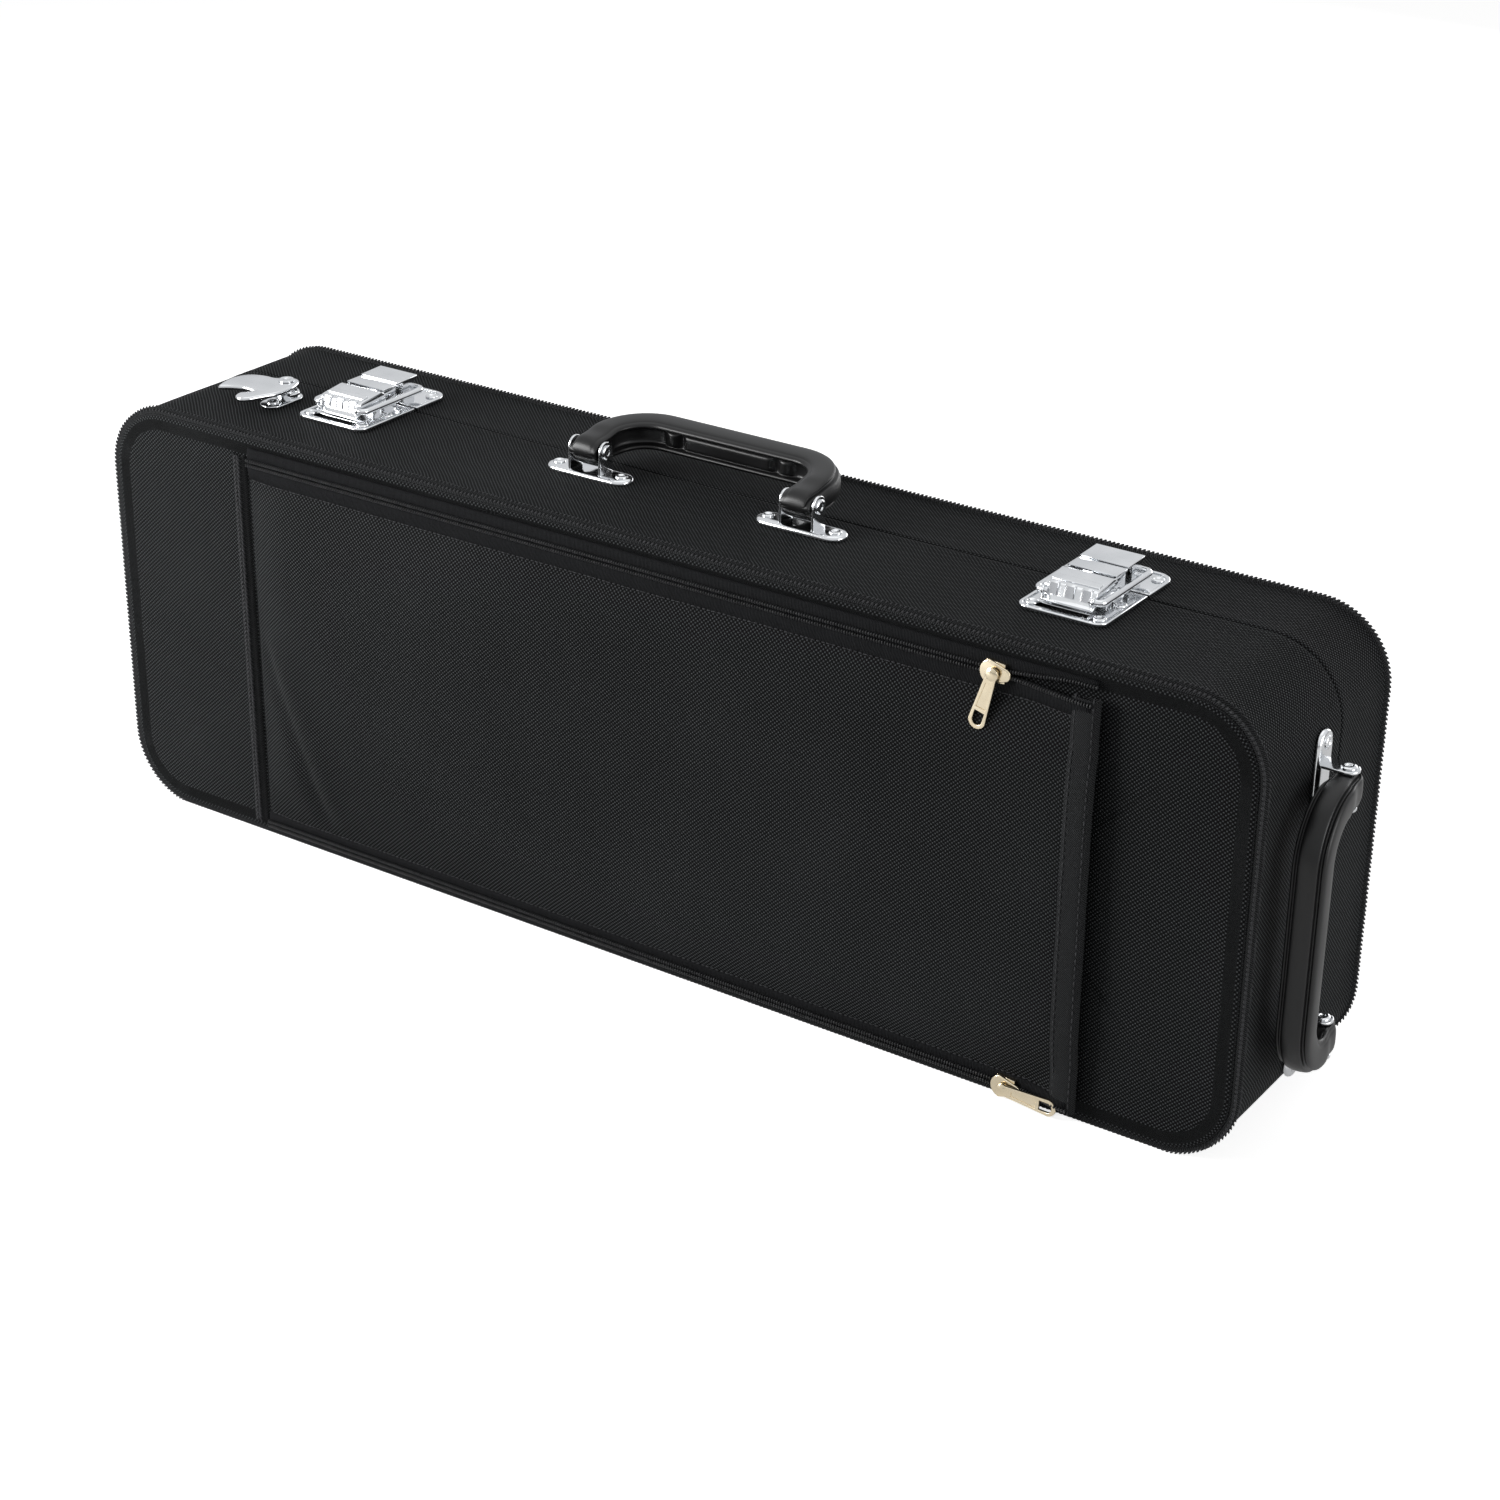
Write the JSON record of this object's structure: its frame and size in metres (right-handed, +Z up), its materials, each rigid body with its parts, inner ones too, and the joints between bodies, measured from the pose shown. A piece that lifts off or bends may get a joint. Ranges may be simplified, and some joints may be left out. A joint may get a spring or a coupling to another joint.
{
  "type": "soprano saxophone case",
  "caption": "Oblong instrument case with a hinged lid, draw latches, swinging handles on its top and end, and a zipped strap sleeve on its front.",
  "frame": {"origin": "centre of the case's body on the plane it stands on", "axes": "+X along the case to the end with the handle, +Y to the back, where the lid is, +Z up through the top with the latches"},
  "size_m": [0.7251, 0.1448, 0.2631],
  "materials": {
    "nylon_cloth": "coarse woven nylon, slightly glossy threads",
    "twill_binding": "ribbed twill tape with stitching",
    "shell_board": "moulded stiff board",
    "plush_lining": "short-pile plush over foam",
    "handle_plastic": "moulded, soft sheen, long grooves",
    "zipper_tape": "woven tape",
    "zipper_coil": "nylon coil",
    "pale_gold_metal": "pale gold plating",
    "hinge_steel": "zinc plated sheet",
    "chrome_plate": "polished chrome plating"
  },
  "bodies": {
    "base": {"base_binding": "twill_binding", "base_cover": "nylon_cloth", "base_hinge_leaves": "hinge_steel", "base_hinge_screws": "hinge_steel", "base_insert": "plush_lining", "base_lip": "shell_board", "base_shell": "shell_board", "bottom_zipper_tape": "zipper_tape", "bottom_zipper_teeth": "zipper_coil", "end_handle_brackets": "chrome_plate", "end_handle_pins": "chrome_plate", "end_handle_rivets": "chrome_plate", "flap": "nylon_cloth", "flap_edge_binding": "twill_binding", "flap_left_strip": "twill_binding", "hinge_pins": "hinge_steel", "latch_base_rivets": "chrome_plate", "latch_pins": "chrome_plate", "left_latch_base": "chrome_plate", "right_latch_base": "chrome_plate", "strap_hook_base": "chrome_plate", "strap_hook_rivet": "chrome_plate", "top_handle_brackets": "chrome_plate", "top_handle_pins": "chrome_plate", "top_handle_rivets": "chrome_plate", "top_zipper_tape": "zipper_tape", "top_zipper_teeth": "zipper_coil"},
    "lid": {"lid_cover": "nylon_cloth", "lid_shell": "shell_board", "lid_binding": "twill_binding", "lid_insert": "plush_lining", "lid_hinge_leaves": "hinge_steel", "lid_hinge_screws": "hinge_steel", "left_latch_keeper": "chrome_plate", "right_latch_keeper": "chrome_plate", "latch_keeper_rivets": "chrome_plate"},
    "top_handle": {"top_handle": "handle_plastic"},
    "end_handle": {"end_handle": "handle_plastic"},
    "left_lever": {"left_latch_lever": "chrome_plate"},
    "right_lever": {"right_latch_lever": "chrome_plate"},
    "left_bail": {"left_latch_bail": "chrome_plate"},
    "right_bail": {"right_latch_bail": "chrome_plate"},
    "top_slider": {"top_zipper_slider": "pale_gold_metal"},
    "bottom_slider": {"bottom_zipper_slider": "pale_gold_metal"},
    "top_puller": {"top_zipper_puller": "pale_gold_metal"},
    "bottom_puller": {"bottom_zipper_puller": "pale_gold_metal"},
    "strap_hook": {"strap_hook": "chrome_plate"}
  },
  "joints": [
    {"name": "lid_hinge", "type": "hinge", "parent": "base", "child": "lid", "pos_m": [0, 0.014, 0.003], "axis": [-1, 0, 0], "range_deg": [0, 95]},
    {"name": "top_handle_swing", "type": "hinge", "parent": "base", "child": "top_handle", "pos_m": [0, -0.007, 0.252], "axis": [1, 0, 0], "range_deg": [0, 172]},
    {"name": "end_handle_swing", "type": "hinge", "parent": "base", "child": "end_handle", "pos_m": [0.364, -0.007, 0.1155], "axis": [0, 0, 1], "range_deg": [0, 172]},
    {"name": "left_lever_pivot", "type": "hinge", "parent": "base", "child": "left_lever", "pos_m": [-0.224, -0.004, 0.247], "axis": [-1, 0, 0], "range_deg": [0, 80]},
    {"name": "left_bail_pivot", "type": "hinge", "parent": "left_lever", "child": "left_bail", "pos_m": [-0.224, -0.0215, 0.246], "axis": [-1, 0, 0], "range_deg": [-54, 0]},
    {"name": "right_lever_pivot", "type": "hinge", "parent": "base", "child": "right_lever", "pos_m": [0.224, -0.004, 0.247], "axis": [-1, 0, 0], "range_deg": [0, 80]},
    {"name": "right_bail_pivot", "type": "hinge", "parent": "right_lever", "child": "right_bail", "pos_m": [0.224, -0.0215, 0.246], "axis": [-1, 0, 0], "range_deg": [-54, 0]},
    {"name": "top_slider_run", "type": "slide", "parent": "base", "child": "top_slider", "axis": [1, 0, 0], "range_m": [-0.44, 0.045]},
    {"name": "bottom_slider_run", "type": "slide", "parent": "base", "child": "bottom_slider", "axis": [1, 0, 0], "range_m": [-0.46, 0.02]},
    {"name": "top_puller_swing", "type": "hinge", "parent": "top_slider", "child": "top_puller", "pos_m": [0.215, -0.0748, 0.223], "axis": [0, -1, 0], "range_deg": [-66, 99]},
    {"name": "bottom_puller_swing", "type": "hinge", "parent": "bottom_slider", "child": "bottom_puller", "pos_m": [0.232, -0.0748, 0.007], "axis": [0, -1, 0], "range_deg": [0, 153]},
    {"name": "hook_swivel", "type": "hinge", "parent": "base", "child": "strap_hook", "pos_m": [-0.272, -0.01, 0.2461], "axis": [0, 0, 1], "range_deg": [-130, 25]}
  ],
  "couplings": [
    {"joint": "left_bail_pivot", "follows": "left_lever_pivot", "ratio": -0.67},
    {"joint": "right_bail_pivot", "follows": "right_lever_pivot", "ratio": -0.67}
  ]
}
